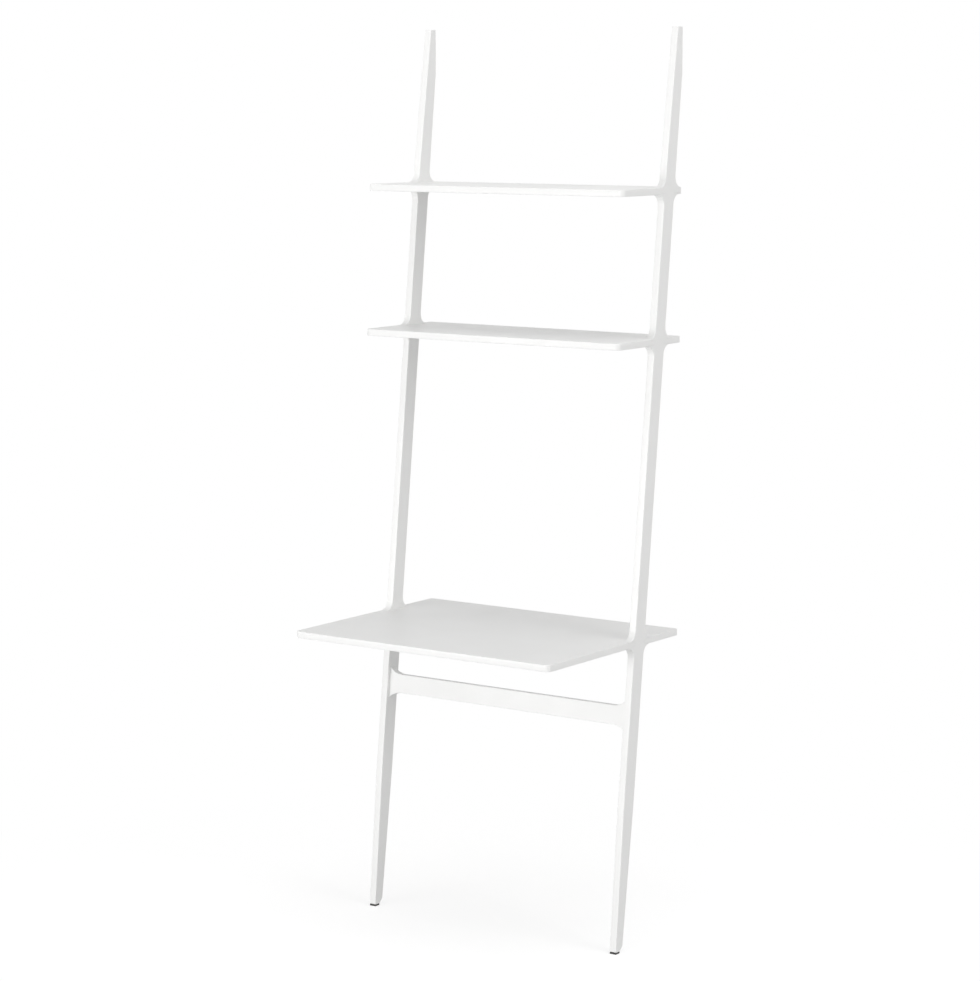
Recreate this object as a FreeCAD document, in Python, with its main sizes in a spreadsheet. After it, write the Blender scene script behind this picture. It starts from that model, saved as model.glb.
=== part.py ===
import FreeCAD, Part
import math
import os
import Sketcher

# A leaning ladder desk: two slim uprights lean back against a wall and carry a deep desk top and two
# shallower shelves. Every plate is notched round the uprights, whose flared shoulders are let into it, and
# a flared rail ties the uprights below the desk. Cam locks and their bolts draw the uprights on to the
# plates, and loose tenons hold the rail between them.
# Lengths are millimetres and angles degrees. X runs along the desk, +Y points at the wall and +Z is up.
# The origin lies on the floor, half way along the desk and half way from its front edge to the wall.

SIZES = {
    # Whole object
    "width": 724.0,
    "desk_height": 735.0,
    "lower_shelf_rise": 697.0,
    "upper_shelf_rise": 347.0,
    "tip_rise": 369.0,
    "lean_angle": 6.4,
    "joint_clearance": 0.2,
    "fastener_clearance": 0.05,
    "overrun": 5.0,
    # Plates
    "board": 16.0,
    "desk_depth": 548.0,
    "lower_shelf_depth": 268.0,
    "upper_shelf_depth": 254.0,
    "plate_corner_radius": 14.0,
    # Uprights
    "upright_thickness": 18.0,
    "upright_depth": 42.0,
    "foot_depth": 28.0,
    "foot_taper_height": 345.0,
    "heel_chamfer": 10.5,
    "wall_face_length": 106.5,
    "tip_depth": 20.0,
    "tip_taper_rise": 40.0,
    "flare_radius": 25.0,
    "flare_reach_share": 1.2,
    "flare_lip": 2.5,
    "least_horn": 12.0,
    "arris": 1.5,
    # Cross rail
    "rail_drop": 181.0,
    "rail_width": 46.0,
    "rail_thickness": 18.0,
    "rail_setback": 9.0,
    "rail_flare_length": 36.0,
    "rail_flare_rise": 15.0,
    # Cam locks and their bolts
    "cam_radius": 7.4,
    "cam_length": 12.0,
    "cam_wall": 1.4,
    "cam_throw": 0.4,
    "cam_clearance": 0.1,
    "cam_floor_gap": 0.5,
    "cam_offset": 24.0,
    "cam_axis_depth": 8.0,
    "cam_head_clearance": 0.4,
    "cam_drive_length": 9.0,
    "cam_drive_width": 1.6,
    "cam_drive_depth": 2.4,
    "bolt_radius": 2.2,
    "bolt_thread_length": 11.0,
    "bolt_head_radius": 3.5,
    "bolt_head_length": 2.5,
    "bolt_end_gap": 0.5,
    "bolt_channel_clearance": 0.3,
    # Loose tenons of the rail
    "tenon_thickness": 8.0,
    "tenon_width": 40.0,
    "tenon_in_upright": 12.0,
    "tenon_in_rail": 18.0,
    "tenon_end_gap": 0.5,
    # Foot pads
    "pad_thickness": 4.0,
    "pad_inset": 1.0,
    # Keyhole plates for the wall, each with one screw
    "keyhole_plate_width": 12.0,
    "keyhole_plate_length": 44.0,
    "keyhole_plate_thickness": 2.0,
    "keyhole_plate_share": 0.5,
    "keyhole_entry_radius": 4.0,
    "keyhole_slot_radius": 2.2,
    "keyhole_slot_rise": 11.0,
    "keyhole_room_width": 9.2,
    "keyhole_room_depth": 6.0,
    "keyhole_drop": 8.0,
    "keyhole_screw_rise": 12.0,
    "screw_radius": 1.5,
    "screw_head_radius": 3.0,
    "screw_length": 16.0,
    "screw_end_gap": 0.5,
}

PLATES = ("desk", "lower_shelf", "upper_shelf")
LEFT, RIGHT = -1, 1
SIDES = {"left": LEFT, "right": RIGHT}
SAME_PLACE = 0.01
QUARTER_TURN = 90
HALF_TURN = 180
CAM_SIDES = 24

document = FreeCAD.newDocument("ladder_desk")
sheet = document.addObject("Spreadsheet::Sheet", "sizes")
for row, (alias, number) in enumerate(SIZES.items(), start=1):
    sheet.set(f"A{row}", alias)
    sheet.set(f"B{row}", str(number))
    sheet.setAlias(f"B{row}", alias)
document.recompute()


def number_of(expression):
    """The value that an expression on the sheet has now."""
    return float(sheet.evalExpression(expression))


# Places that several pieces share, as expressions on the sheet.
WALL = "(sizes.desk_depth / 2)"
SLOPE = "tan(sizes.lean_angle)"
TOPS = {
    "desk": "sizes.desk_height",
    "lower_shelf": "(sizes.desk_height + sizes.lower_shelf_rise)",
    "upper_shelf": "(sizes.desk_height + sizes.lower_shelf_rise + sizes.upper_shelf_rise)",
}
TIP = f"({TOPS['upper_shelf']} + sizes.tip_rise)"
WALL_CUT = f"({TIP} - sizes.wall_face_length)"
HALF_UPRIGHT = "sizes.upright_depth / 2"
INNER_FACE = "(sizes.width / 2 - sizes.upright_thickness)"
UPRIGHT_MIDDLE = "(sizes.width - sizes.upright_thickness) / 2"
FLARE_REACH = f"({HALF_UPRIGHT} + sizes.flare_radius * sizes.flare_reach_share)"
RAIL_LEVEL = "(sizes.desk_height - sizes.rail_drop)"
CAM_PLACE = f"({INNER_FACE} - sizes.cam_offset)"
CAM_CAVITY = "(sizes.cam_radius - sizes.cam_wall - sizes.cam_throw)"
HEAD_REACH = f"({CAM_CAVITY} - sizes.cam_head_clearance)"
HEAD_PLACE = f"(sqrt({HEAD_REACH} ^ 2 - sizes.bolt_head_radius ^ 2) - sizes.cam_throw)"
BOLT_BORE = "sizes.bolt_radius + sizes.fastener_clearance"
MORTISE = [f"(sizes.tenon_{side} / 2 + sizes.fastener_clearance)" for side in ("thickness", "width")]
SCREW_BORE = "sizes.screw_radius + sizes.fastener_clearance"
PLATE_LEVEL = f"({TIP} - sizes.wall_face_length * sizes.keyhole_plate_share)"
PLATE_SCREW = f"({PLATE_LEVEL} + sizes.keyhole_screw_rise)"
KEYHOLE_LEVEL = f"({PLATE_LEVEL} - sizes.keyhole_drop)"
KEYHOLE_ENTRY = f"({KEYHOLE_LEVEL} - sizes.keyhole_slot_rise / 2)"


def axis_y(level):
    """Where the uprights' leaning centre line stands at a height above the floor."""
    return f"({WALL} - {HALF_UPRIGHT} - {SLOPE} * ({WALL_CUT} - {level}))"


FOOT_MIDDLE = f"({axis_y('sizes.pad_thickness')} - sizes.heel_chamfer / 2)"


def underside_of(plate):
    return f"({TOPS[plate]} - sizes.board)"


def bolt_level(plate):
    return f"({underside_of(plate)} + sizes.cam_axis_depth)"


def lip_end(plate, half):
    """Where a flare's lip ends along a plate: at the flare's reach, or at the wall if that reach would end
    too close to the plate's back edge to leave sound wood behind it."""
    end = f"({axis_y(bolt_level(plate))} {half} {FLARE_REACH})"
    too_close = number_of(end) > number_of(f"{WALL} - sizes.least_horn")
    return WALL if too_close else end


def rail_place(across, along):
    """World Y and Z of a point on the rail: across its thickness and along the lean from its middle."""
    offset = (
        f"(sizes.rail_setback + sizes.rail_thickness / 2 - {HALF_UPRIGHT} * cos(sizes.lean_angle) + {across})"
    )
    y = f"({axis_y(RAIL_LEVEL)} + {offset} * cos(sizes.lean_angle) + {along} * sin(sizes.lean_angle))"
    z = f"({RAIL_LEVEL} - {offset} * sin(sizes.lean_angle) + {along} * cos(sizes.lean_angle))"
    return y, z


def new_body(name):
    return document.addObject("PartDesign::Body", name)


def attach(item, body, plane, u="0", v="0", offset="0"):
    """Puts a feature on one of the body's own origin planes, moved in that plane and along its normal."""
    support = next(feature for feature in body.Origin.OriginFeatures if feature.Role == plane)
    item.AttachmentSupport = (support, [""])
    item.MapMode = "FlatFace"
    for letter, expression in zip("xyz", (u, v, offset)):
        item.setExpression(f"AttachmentOffset.Base.{letter}", expression)


def new_sketch(body, name, plane, offset="0"):
    sketch = body.newObject("Sketcher::SketchObject", name)
    attach(sketch, body, plane, offset=offset)
    return sketch


def tie(sketch, kind, curve, point, expression):
    """Holds one coordinate of a point at an expression, measured from the sketch's origin."""
    constraint = Sketcher.Constraint(kind, -1, 1, curve, point, number_of(expression))
    index = sketch.addConstraint(constraint)
    sketch.setExpression(f"Constraints[{index}]", expression)


def add_outline(sketch, corners, arcs=()):
    """Closed outline through corners, each a pair of expressions. A run listed in arcs, by the number of
    its first corner, is an arc with the middle and radius given there."""
    arcs = dict(arcs)
    points = [FreeCAD.Vector(number_of(u), number_of(v), 0) for u, v in corners]
    runs = []
    for index, start in enumerate(points):
        end = points[(index + 1) % len(points)]
        if index not in arcs:
            runs.append((sketch.addGeometry(Part.LineSegment(start, end)), 1, 2))
            continue
        middle_u, middle_v, radius = arcs[index]
        middle = FreeCAD.Vector(number_of(middle_u), number_of(middle_v), 0)
        first = math.atan2(start.y - middle.y, start.x - middle.x)
        last = math.atan2(end.y - middle.y, end.x - middle.x)
        turns_left = (start - middle).cross(end - middle).z > 0
        circle = Part.Circle(middle, FreeCAD.Vector(0, 0, 1), number_of(radius))
        if turns_left:
            runs.append((sketch.addGeometry(Part.ArcOfCircle(circle, first, last)), 1, 2))
        else:
            runs.append((sketch.addGeometry(Part.ArcOfCircle(circle, last, first)), 2, 1))
        size = sketch.addConstraint(Sketcher.Constraint("Radius", runs[-1][0], number_of(radius)))
        sketch.setExpression(f"Constraints[{size}]", radius)
    for index, (curve, start, end) in enumerate(runs):
        following, next_start, next_end = runs[(index + 1) % len(runs)]
        sketch.addConstraint(Sketcher.Constraint("Coincident", curve, end, following, next_start))
        tie(sketch, "DistanceX", curve, start, corners[index][0])
        tie(sketch, "DistanceY", curve, start, corners[index][1])


def add_circle(sketch, u, v, radius):
    middle = FreeCAD.Vector(number_of(u), number_of(v), 0)
    circle = sketch.addGeometry(Part.Circle(middle, FreeCAD.Vector(0, 0, 1), number_of(radius)))
    tie(sketch, "DistanceX", circle, 3, u)
    tie(sketch, "DistanceY", circle, 3, v)
    size = sketch.addConstraint(Sketcher.Constraint("Radius", circle, number_of(radius)))
    sketch.setExpression(f"Constraints[{size}]", radius)


def pad(body, name, sketch, length, reverse=False):
    feature = body.newObject("PartDesign::Pad", name)
    feature.Profile = sketch
    feature.setExpression("Length", length)
    feature.Reversed = reverse
    document.recompute()
    return feature


def pocket(body, name, sketch, depth, reverse=False):
    """Cuts a sketch into the body, and makes sure that it took something away."""
    before = body.Shape.Volume
    feature = body.newObject("PartDesign::Pocket", name)
    feature.Profile = sketch
    feature.setExpression("Length", depth)
    feature.Reversed = reverse
    document.recompute()
    if body.Shape.Volume >= before:
        raise RuntimeError(f"{name} cut nothing from {body.Label}")
    return feature


def dress_edges(body, name, edges, kind, size):
    """Puts a Fillet or a Chamfer on the edges of the body's tip that a test picks."""
    base = body.Tip
    chosen = [f"Edge{n}" for n, edge in enumerate(base.Shape.Edges, start=1) if edges(edge)]
    feature = body.newObject(f"PartDesign::{kind}", name)
    feature.Base = (base, chosen)
    feature.setExpression("Radius" if kind == "Fillet" else "Size", size)
    document.recompute()
    return feature


def mirrored(body, name, features):
    """Repeats features across the body's middle plane."""
    before = body.Shape.Volume
    feature = body.newObject("PartDesign::Mirrored", name)
    feature.Originals = features
    plane = next(item for item in body.Origin.OriginFeatures if item.Role == "YZ_Plane")
    feature.MirrorPlane = (plane, [""])
    body.Tip = feature
    document.recompute()
    if body.Shape.Volume >= before:
        raise RuntimeError(f"{name} cut nothing from {body.Label}")
    return feature


def near(first, second):
    return abs(first - second) < SAME_PLACE


def on_planes(axis, *places):
    """Picks the edges that lie wholly in one of the planes across an axis."""
    levels = [number_of(place) for place in places]

    def lies_in_plane(edge):
        box = edge.BoundBox
        low, high = getattr(box, f"{axis}Min"), getattr(box, f"{axis}Max")
        return near(low, high) and any(near(low, level) for level in levels)

    return lies_in_plane


def through_points(axis, *points):
    """Picks the straight edges along X or Z that pass through given points of the plane across them."""
    wanted = [(number_of(u), number_of(v)) for u, v in points]

    def passes_point(edge):
        if len(edge.Vertexes) != 2:
            return False
        start, end = (vertex.Point for vertex in edge.Vertexes)
        first = (start.y, start.z) if axis == "X" else (start.x, start.y)
        second = (end.y, end.z) if axis == "X" else (end.x, end.y)
        straight = near(first[0], second[0]) and near(first[1], second[1])
        return straight and any(near(first[0], u) and near(first[1], v) for u, v in wanted)

    return passes_point


def place(item, x="0", y="0", z="0"):
    for letter, expression in zip("xyz", (x, y, z)):
        item.setExpression(f"Placement.Base.{letter}", expression)


def turned(name, profile):
    """A body revolved about its own X axis from a closed half outline of (along, radius) pairs."""
    body = new_body(name)
    sketch = new_sketch(body, f"{name}_profile", "XY_Plane")
    add_outline(sketch, profile)
    feature = body.newObject("PartDesign::Revolution", f"{name}_turning")
    feature.Profile = sketch
    feature.ReferenceAxis = (sketch, ["H_Axis"])
    document.recompute()
    return body


def both_ends(label, pieces):
    """A node that holds pieces of the left end and their copies at the right."""
    copies = []
    for piece in pieces:
        copy = document.addObject("Part::Mirroring", f"{piece.Name}_right")
        copy.Source = piece
        copy.Normal = FreeCAD.Vector(1, 0, 0)
        copies.append(copy)
    item = document.addObject("Part::Compound", label)
    item.Links = pieces + copies
    item.Label = label
    return item


def lean_with_uprights(body):
    """Turns a piece of the rail with the uprights' lean and carries it to the rail's middle."""
    body.Placement.Rotation = FreeCAD.Rotation(FreeCAD.Vector(-1, 0, 0), SIZES["lean_angle"])
    body.setExpression("Placement.Rotation.Angle", "sizes.lean_angle")
    y, z = rail_place("0", "0")
    place(body, y=y, z=z)


def upright(label, side):
    """A leaning blade with a tapered foot and tip, flared into the plates that it passes through."""
    body = new_body(label)
    outer, inner = f"{side} * sizes.width / 2", f"{side} * {INNER_FACE}"
    foot, heel = "sizes.pad_thickness", "(sizes.pad_thickness + sizes.heel_chamfer)"
    foot_taper = "sizes.foot_taper_height"
    tip_taper = f"({TOPS['upper_shelf']} + sizes.tip_taper_rise)"
    sketch = new_sketch(body, f"{label}_blade", "YZ_Plane", outer)
    add_outline(sketch, [
        (f"{axis_y(foot)} - sizes.foot_depth / 2", foot),
        (f"{axis_y(foot)} + sizes.foot_depth / 2 - sizes.heel_chamfer", foot),
        (f"{axis_y(heel)} + sizes.foot_depth / 2", heel),
        (f"{axis_y(foot_taper)} + {HALF_UPRIGHT}", foot_taper),
        (WALL, WALL_CUT),
        (WALL, TIP),
        (f"{WALL} - sizes.tip_depth", TIP),
        (f"{axis_y(tip_taper)} - {HALF_UPRIGHT}", tip_taper),
        (f"{axis_y(foot_taper)} - {HALF_UPRIGHT}", foot_taper),
    ])
    pad(body, f"{label}_board", sketch, "sizes.upright_thickness", side == RIGHT)

    # Arms as thick as each plate, whose inside corners take the flares.
    arms = new_sketch(body, f"{label}_arms", "YZ_Plane", outer)
    corners = []
    for plate in PLATES:
        front, back = f"{lip_end(plate, '-')} - sizes.overrun", f"{lip_end(plate, '+')} + sizes.overrun"
        low, high = underside_of(plate), TOPS[plate]
        add_outline(arms, [(front, low), (back, low), (back, high), (front, high)])
        for level in (low, high):
            corners += [(f"{axis_y(level)} {half} {HALF_UPRIGHT}", level) for half in "-+"]
    pad(body, f"{label}_shoulders", arms, "sizes.upright_thickness", side == RIGHT)
    dress_edges(body, f"{label}_flares", through_points("X", *corners), "Fillet", "sizes.flare_radius")
    dress_edges(body, f"{label}_arrises", on_planes("X", outer, inner), "Chamfer", "sizes.arris")

    # Housings for the plates' horns, which leave a lip of each flare above and below.
    housings = new_sketch(body, f"{label}_housings", "YZ_Plane", outer)
    for plate in PLATES:
        low, high = f"({underside_of(plate)} + sizes.flare_lip)", f"({TOPS[plate]} - sizes.flare_lip)"
        floor, ceiling = f"({underside_of(plate)} - sizes.overrun)", f"({TOPS[plate]} + sizes.overrun)"
        for half in "-+":
            end = lip_end(plate, half)
            far = f"{end} {half} sizes.overrun * 2"
            add_outline(housings, [
                (f"{axis_y(low)} {half} {HALF_UPRIGHT}", low), (end, low), (end, floor), (far, floor),
                (far, ceiling), (end, ceiling), (end, high), (f"{axis_y(high)} {half} {HALF_UPRIGHT}", high),
            ])
    pocket(body, f"{label}_housing_cuts", housings, "sizes.upright_thickness", side == LEFT)

    # The inner face takes the bolts' threads in blind bores and the rail's tenon in a mortise.
    bolts = new_sketch(body, f"{label}_bolt_places", "YZ_Plane", inner)
    for plate in PLATES:
        add_circle(bolts, axis_y(bolt_level(plate)), bolt_level(plate), BOLT_BORE)
    pocket(body, f"{label}_bolt_bores", bolts, "sizes.bolt_thread_length + sizes.bolt_end_gap", side == RIGHT)
    mortise = new_sketch(body, f"{label}_mortise_outline", "YZ_Plane", inner)
    across, along = MORTISE
    turns = ("--", "+-", "++", "-+")
    add_outline(mortise, [rail_place(f"{half}{across}", f"{rise}{along}") for half, rise in turns])
    pocket(body, f"{label}_mortise", mortise, "sizes.tenon_in_upright + sizes.tenon_end_gap", side == RIGHT)

    # The tip's wall face takes the keyhole plate, with room behind it for a wall screw's head.
    column = f"{side} * {UPRIGHT_MIDDLE}"
    recess = new_sketch(body, f"{label}_plate_outline", "XZ_Plane", f"-{WALL}")
    add_box_outline(recess, column, PLATE_LEVEL, "sizes.keyhole_plate_width / 2 + sizes.joint_clearance",
                    "sizes.keyhole_plate_length / 2 + sizes.joint_clearance")
    pocket(body, f"{label}_plate_recess", recess, "sizes.keyhole_plate_thickness", True)
    room = new_sketch(body, f"{label}_head_room_outline", "XZ_Plane", f"-{WALL}")
    add_box_outline(room, column, KEYHOLE_LEVEL, "sizes.keyhole_room_width / 2",
                    "(sizes.keyhole_slot_rise + sizes.keyhole_room_width) / 2")
    pocket(body, f"{label}_head_room", room, "sizes.keyhole_plate_thickness + sizes.keyhole_room_depth", True)
    pilot = new_sketch(body, f"{label}_pilot_place", "XZ_Plane", f"-{WALL}")
    add_circle(pilot, column, PLATE_SCREW, SCREW_BORE)
    pocket(body, f"{label}_pilot", pilot, "sizes.screw_length + sizes.screw_end_gap", True)
    body.Label = label
    return body


def add_box_outline(sketch, u, v, half_width, half_length):
    left, right = f"{u} - ({half_width})", f"{u} + ({half_width})"
    low, high = f"{v} - ({half_length})", f"{v} + ({half_length})"
    add_outline(sketch, [(left, low), (right, low), (right, high), (left, high)])


def add_slot(sketch, u, v, radius, rise):
    """An upright slot with round ends, from its lower middle point."""
    left, right = f"({u} - {radius})", f"({u} + {radius})"
    top = f"({v} + {rise})"
    low_end, high_end = (u, f"{v} - {radius}"), (u, f"{top} + {radius}")
    corners = [(left, top), (left, v), low_end, (right, v), (right, top), high_end]
    arcs = {1: (u, v, radius), 2: (u, v, radius), 4: (u, top, radius), 5: (u, top, radius)}
    add_outline(sketch, corners, arcs)


def plate(label, name):
    """A board with rounded front corners, notched at both ends round the uprights and their flares."""
    body = new_body(label)
    low, high = underside_of(name), TOPS[name]
    half, front = "(sizes.width / 2)", f"({WALL} - sizes.{name}_depth)"
    corners = [(f"-{half}", front), (half, front), (half, WALL), (f"-{half}", WALL)]
    sketch = new_sketch(body, f"{label}_outline", "XY_Plane", low)
    add_outline(sketch, corners)
    pad(body, f"{label}_board", sketch, "sizes.board")
    front_edges = through_points("Z", *corners[:2])
    dress_edges(body, f"{label}_corners", front_edges, "Fillet", "sizes.plate_corner_radius")
    dress_edges(body, f"{label}_arrises", on_planes("Z", low, high), "Chamfer", "sizes.arris")

    gap = "sizes.joint_clearance"
    horn_low, horn_high = f"({low} + sizes.flare_lip + {gap})", f"({high} - sizes.flare_lip - {gap})"
    floor, ceiling = f"({low} - sizes.overrun)", f"({high} + sizes.overrun)"
    lip_front, lip_back = (f"{lip_end(name, half_way)} {half_way} {gap}" for half_way in "-+")
    front_low, front_high = (f"{axis_y(level)} - {HALF_UPRIGHT} - {gap}" for level in (horn_low, horn_high))
    back_low, back_high = (f"{axis_y(level)} + {HALF_UPRIGHT} + {gap}" for level in (horn_low, horn_high))
    notch = new_sketch(body, f"{label}_notch_outline", "YZ_Plane", INNER_FACE)
    add_outline(notch, [
        (lip_front, ceiling), (lip_front, horn_high), (front_high, horn_high),
        (front_low, horn_low), (lip_front, horn_low), (lip_front, floor),
        (lip_back, floor), (lip_back, horn_low), (back_low, horn_low),
        (back_high, horn_high), (lip_back, horn_high), (lip_back, ceiling),
    ])
    notch_cut = pocket(body, f"{label}_notch", notch, "sizes.upright_thickness + sizes.overrun", True)
    channel = new_sketch(body, f"{label}_channel_place", "YZ_Plane", INNER_FACE)
    add_circle(channel, axis_y(bolt_level(name)), bolt_level(name),
               "sizes.bolt_head_radius + sizes.bolt_channel_clearance")
    channel_cut = pocket(body, f"{label}_channel", channel, "sizes.cam_offset")
    cams = new_sketch(body, f"{label}_cam_place", "XY_Plane", low)
    add_circle(cams, CAM_PLACE, axis_y(bolt_level(name)), "sizes.cam_radius + sizes.cam_clearance")
    cam_cut = pocket(body, f"{label}_cam_bore", cams, "sizes.cam_length + sizes.cam_floor_gap", True)
    mirrored(body, f"{label}_other_end", [notch_cut, channel_cut, cam_cut])
    body.Label = label
    return body


def cross_rail(label):
    """A leaning rail between the uprights whose ends flare out in shallow arcs."""
    body = new_body(label)
    half, rise = INNER_FACE, "(sizes.rail_width / 2)"
    run = f"({half} - sizes.rail_flare_length)"
    flared = f"({rise} + sizes.rail_flare_rise)"
    radius = "((sizes.rail_flare_length ^ 2 + sizes.rail_flare_rise ^ 2) / (2 * sizes.rail_flare_rise))"
    bend = f"({rise} + {radius})"
    corners = [
        (f"-{half}", f"-{flared}"), (f"-{run}", f"-{rise}"), (run, f"-{rise}"), (half, f"-{flared}"),
        (half, flared), (run, rise), (f"-{run}", rise), (f"-{half}", flared),
    ]
    arcs = {
        0: (f"-{run}", f"-{bend}", radius),
        2: (run, f"-{bend}", radius),
        4: (run, bend, radius),
        6: (f"-{run}", bend, radius),
    }
    back = "-sizes.rail_thickness / 2"
    sketch = new_sketch(body, f"{label}_outline", "XZ_Plane", back)
    add_outline(sketch, corners, arcs)
    pad(body, f"{label}_board", sketch, "sizes.rail_thickness")

    def long_edge(edge):
        on_face = on_planes("Y", "sizes.rail_thickness / 2", back)(edge)
        return on_face and not on_planes("X", half, f"-{half}")(edge)

    dress_edges(body, f"{label}_arrises", long_edge, "Chamfer", "sizes.arris")
    mortise = new_sketch(body, f"{label}_mortise_outline", "YZ_Plane", half)
    add_box_outline(mortise, "0", "0", *MORTISE)
    mortise_cut = pocket(body, f"{label}_mortise", mortise, "sizes.tenon_in_rail + sizes.tenon_end_gap")
    mirrored(body, f"{label}_other_end", [mortise_cut])
    lean_with_uprights(body)
    body.Label = label
    return body


def box(name, length, width, height, x, y, z):
    item = document.addObject("Part::Box", name)
    for side, expression in zip(("Length", "Width", "Height"), (length, width, height)):
        item.setExpression(side, expression)
    place(item, x, y, z)
    return item


def prism(name, radius, height, x="0", z="0"):
    """An upright drum whose wall is cut in flats."""
    item = document.addObject("Part::Prism", name)
    item.Polygon = CAM_SIDES
    item.setExpression("Circumradius", radius)
    item.setExpression("Height", height)
    place(item, x, "0", z)
    return item


def cam(label, plate, side):
    """A cam lock in a plate's underside, its driven face down and its bolt from the nearer upright. Its
    cavity is off centre, so turning it draws the bolt's head in. A slot round half its wall clears the bolt
    over the turn, up to a mouth as wide as the head."""
    reach, level = "(sizes.cam_radius + sizes.overrun)", "sizes.cam_axis_depth"
    neck = "(sizes.bolt_radius + sizes.cam_head_clearance)"
    head = "(sizes.bolt_head_radius + sizes.cam_head_clearance)"
    neck_floor, head_floor = f"{level} - {neck}", f"{level} - {head}"
    drum = prism(f"{label}_drum", "sizes.cam_radius", "sizes.cam_length")
    cuts = document.addObject("Part::MultiFuse", f"{label}_cuts")
    cuts.Shapes = [
        prism(f"{label}_cavity", CAM_CAVITY, f"{head} * 2", "-sizes.cam_throw", head_floor),
        box(f"{label}_slot", f"{reach} * 2", f"{neck} + {reach}", f"{neck} * 2",
            f"-{reach}", f"-{neck}", neck_floor),
        box(f"{label}_mouth", reach, f"{head} * 2", f"{head} * 2", f"-{reach}", f"-{head}", head_floor),
        box(f"{label}_drive", "sizes.cam_drive_length", "sizes.cam_drive_width", "sizes.cam_drive_depth",
            "-sizes.cam_drive_length / 2", "-sizes.cam_drive_width / 2", "0"),
    ]
    item = document.addObject("Part::Cut", label)
    item.Base = drum
    item.Tool = cuts
    item.Placement.Rotation = FreeCAD.Rotation(FreeCAD.Vector(0, 0, 1), HALF_TURN if side == LEFT else 0)
    place(item, f"{side} * {CAM_PLACE}", axis_y(bolt_level(plate)), underside_of(plate))
    item.Label = label
    return item


def bolt(name, plate):
    """A connecting bolt at the left upright: its thread in the wood and its head in the cam."""
    start, head = "-sizes.bolt_thread_length", f"(sizes.cam_offset - {HEAD_PLACE})"
    end = f"{head} + sizes.bolt_head_length"
    body = turned(name, [
        (start, "0"), (start, "sizes.bolt_radius"), (head, "sizes.bolt_radius"),
        (head, "sizes.bolt_head_radius"), (end, "sizes.bolt_head_radius"), (end, "0"),
    ])
    place(body, f"-{INNER_FACE}", axis_y(bolt_level(plate)), bolt_level(plate))
    return body


def tenon(name):
    """A loose tenon across the face of the left upright."""
    body = new_body(name)
    start = f"-({INNER_FACE} + sizes.tenon_in_upright)"
    sketch = new_sketch(body, f"{name}_outline", "YZ_Plane", start)
    add_box_outline(sketch, "0", "0", "sizes.tenon_thickness / 2", "sizes.tenon_width / 2")
    pad(body, f"{name}_block", sketch, "sizes.tenon_in_upright + sizes.tenon_in_rail")
    lean_with_uprights(body)
    return body


def plate_screw(name):
    """The countersunk screw of the left keyhole plate, driven forwards from the wall side."""
    length, radius = "sizes.screw_length", "sizes.screw_radius"
    body = turned(name, [
        ("0", "0"), ("0", "sizes.screw_head_radius"), ("sizes.keyhole_plate_thickness", radius),
        (length, radius), (length, "0"),
    ])
    body.Placement.Rotation = FreeCAD.Rotation(FreeCAD.Vector(0, 0, -1), QUARTER_TURN)
    place(body, f"-{UPRIGHT_MIDDLE}", WALL, PLATE_SCREW)
    return body


def foot_pad(label, side):
    """A rubber pad stuck under the foot."""
    body = new_body(label)
    sketch = new_sketch(body, f"{label}_outline", "XY_Plane")
    half_width = "sizes.upright_thickness / 2 - sizes.pad_inset"
    half_depth = "(sizes.foot_depth - sizes.heel_chamfer) / 2 - sizes.pad_inset"
    add_box_outline(sketch, f"{side} * {UPRIGHT_MIDDLE}", FOOT_MIDDLE, half_width, half_depth)
    pad(body, f"{label}_block", sketch, "sizes.pad_thickness")
    body.Label = label
    return body


def keyhole_plate(name):
    """A steel plate let into the left tip's wall face, with a keyhole and a countersunk screw hole."""
    body = new_body(name)
    column, thickness = f"-{UPRIGHT_MIDDLE}", "sizes.keyhole_plate_thickness"
    outline = new_sketch(body, f"{name}_outline", "XZ_Plane", f"-{WALL}")
    add_box_outline(outline, column, PLATE_LEVEL,
                    "sizes.keyhole_plate_width / 2", "sizes.keyhole_plate_length / 2")
    pad(body, f"{name}_strip", outline, thickness)
    slot = new_sketch(body, f"{name}_slot_outline", "XZ_Plane", f"-{WALL}")
    add_slot(slot, column, KEYHOLE_ENTRY, "sizes.keyhole_slot_radius", "sizes.keyhole_slot_rise")
    pocket(body, f"{name}_slot", slot, thickness, True)
    entry = new_sketch(body, f"{name}_entry_place", "XZ_Plane", f"-{WALL}")
    add_circle(entry, column, KEYHOLE_ENTRY, "sizes.keyhole_entry_radius")
    pocket(body, f"{name}_entry", entry, thickness, True)
    sink = body.newObject("PartDesign::SubtractiveCone", f"{name}_sink")
    attach(sink, body, "XZ_Plane", column, PLATE_SCREW, f"-{WALL}")
    sink.setExpression("Radius1", "sizes.screw_head_radius + sizes.fastener_clearance")
    sink.setExpression("Radius2", SCREW_BORE)
    sink.setExpression("Height", thickness)
    document.recompute()
    return body


nodes = [
    plate("desk_top", "desk"),
    plate("lower_shelf", "lower_shelf"),
    plate("upper_shelf", "upper_shelf"),
    cross_rail("cross_rail"),
    both_ends("rail_tenons", [tenon("tenon")]),
    both_ends("keyhole_plates", [keyhole_plate("keyhole_plate")]),
    both_ends("keyhole_plate_screws", [plate_screw("plate_screw")]),
]
for plate_name in PLATES:
    nodes.append(both_ends(f"{plate_name}_cam_bolts", [bolt(f"{plate_name}_bolt", plate_name)]))
for side_name, side in SIDES.items():
    nodes.append(upright(f"{side_name}_upright", side))
    nodes.append(foot_pad(f"{side_name}_foot_pad", side))
    nodes += [cam(f"{plate_name}_{side_name}_cam", plate_name, side) for plate_name in PLATES]
document.recompute()

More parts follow.
